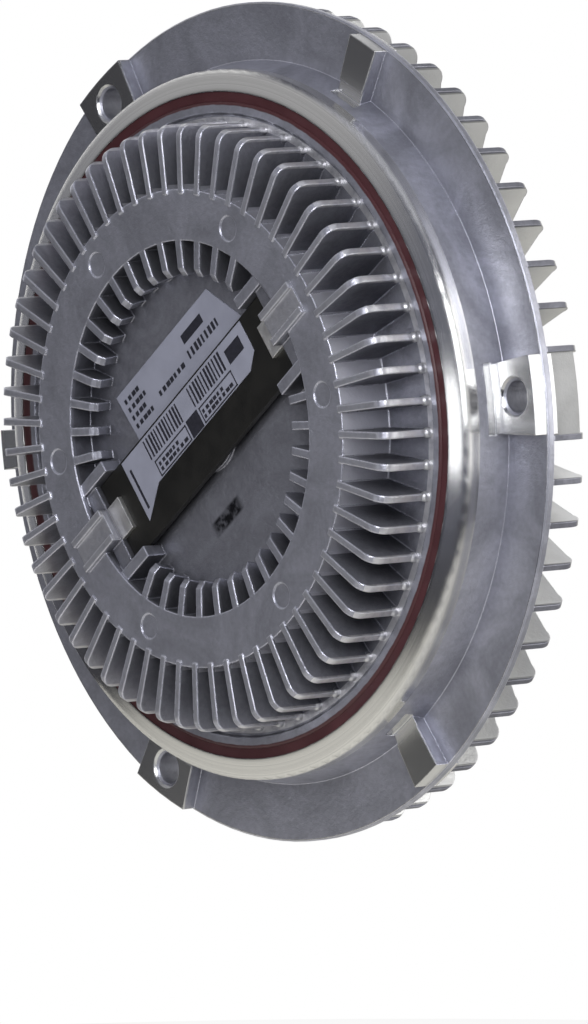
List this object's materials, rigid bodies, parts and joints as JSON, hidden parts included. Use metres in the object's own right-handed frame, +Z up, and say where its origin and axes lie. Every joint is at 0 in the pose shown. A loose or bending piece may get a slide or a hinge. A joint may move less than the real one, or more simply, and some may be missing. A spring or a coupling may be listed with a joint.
{
  "type": "viscous fan clutch",
  "caption": "Round viscous fan clutch: finned aluminium housing with a bimetal strip control, a fan pilot and bolt pads at the front, and a flanged input shaft behind.",
  "frame": {"origin": "centre of the input shaft's rear mounting face", "axes": "+Y along the clutch axis out of the shaft's mounting face, -Y to the front, +Z up"},
  "size_m": [0.18, 0.0719, 0.18],
  "materials": {
    "cast_aluminium": "die cast, satin",
    "turned_aluminium": "turned",
    "seal_rubber": "dull red",
    "dark_rubber": "dull",
    "black_strip": "satin black",
    "sticker": "matt",
    "bright_steel": "bright",
    "steel": "turned",
    "bearing_steel": "ground",
    "pin_brass": "turned",
    "cage_plastic": "moulded",
    "scraper_plastic": "moulded"
  },
  "bodies": {
    "shaft": {"input_shaft": "steel", "rotor": "turned_aluminium", "rotor_retainer": "steel", "bearing_inner": "bearing_steel"},
    "housing": {"rear_housing": "cast_aluminium", "front_cover": "cast_aluminium", "cover_seal": "seal_rubber", "bimetal_strip": "black_strip", "strip_label": "sticker", "cover_label": "sticker", "strip_clips": "bright_steel", "pin_seal": "dark_rubber", "separator_plate": "steel", "plate_rivets": "bright_steel", "lever_rivet": "bright_steel", "scraper": "scraper_plastic", "bearing_outer": "bearing_steel", "bearing_shields": "dark_rubber", "bearing_snap_ring": "steel"},
    "ball_set": {"bearing_balls": "bearing_steel", "bearing_cage": "cage_plastic"},
    "pin": {"control_pin": "pin_brass"},
    "lever": {"valve_lever": "bright_steel"}
  },
  "joints": [
    {"name": "clutch_spin", "type": "hinge", "parent": "shaft", "child": "housing", "pos_m": [0, 0, 0], "axis": [0, 1, 0], "continuous": true},
    {"name": "ball_set_spin", "type": "hinge", "parent": "shaft", "child": "ball_set", "pos_m": [0, 0, 0], "axis": [0, 1, 0], "continuous": true},
    {"name": "pin_slide", "type": "slide", "parent": "housing", "child": "pin", "axis": [0, 1, 0], "range_m": [0, 0.0008], "stiffness_N_per_m": 300},
    {"name": "lever_tilt", "type": "hinge", "parent": "housing", "child": "lever", "pos_m": [-0.01784, -0.0533, -0.00241], "axis": [-0.134, 0, 0.991], "range_deg": [0, 2.6]}
  ],
  "couplings": [
    {"joint": "ball_set_spin", "follows": "clutch_spin", "ratio": 0.6031},
    {"joint": "lever_tilt", "follows": "pin_slide", "rad_per_m": 55.556}
  ]
}
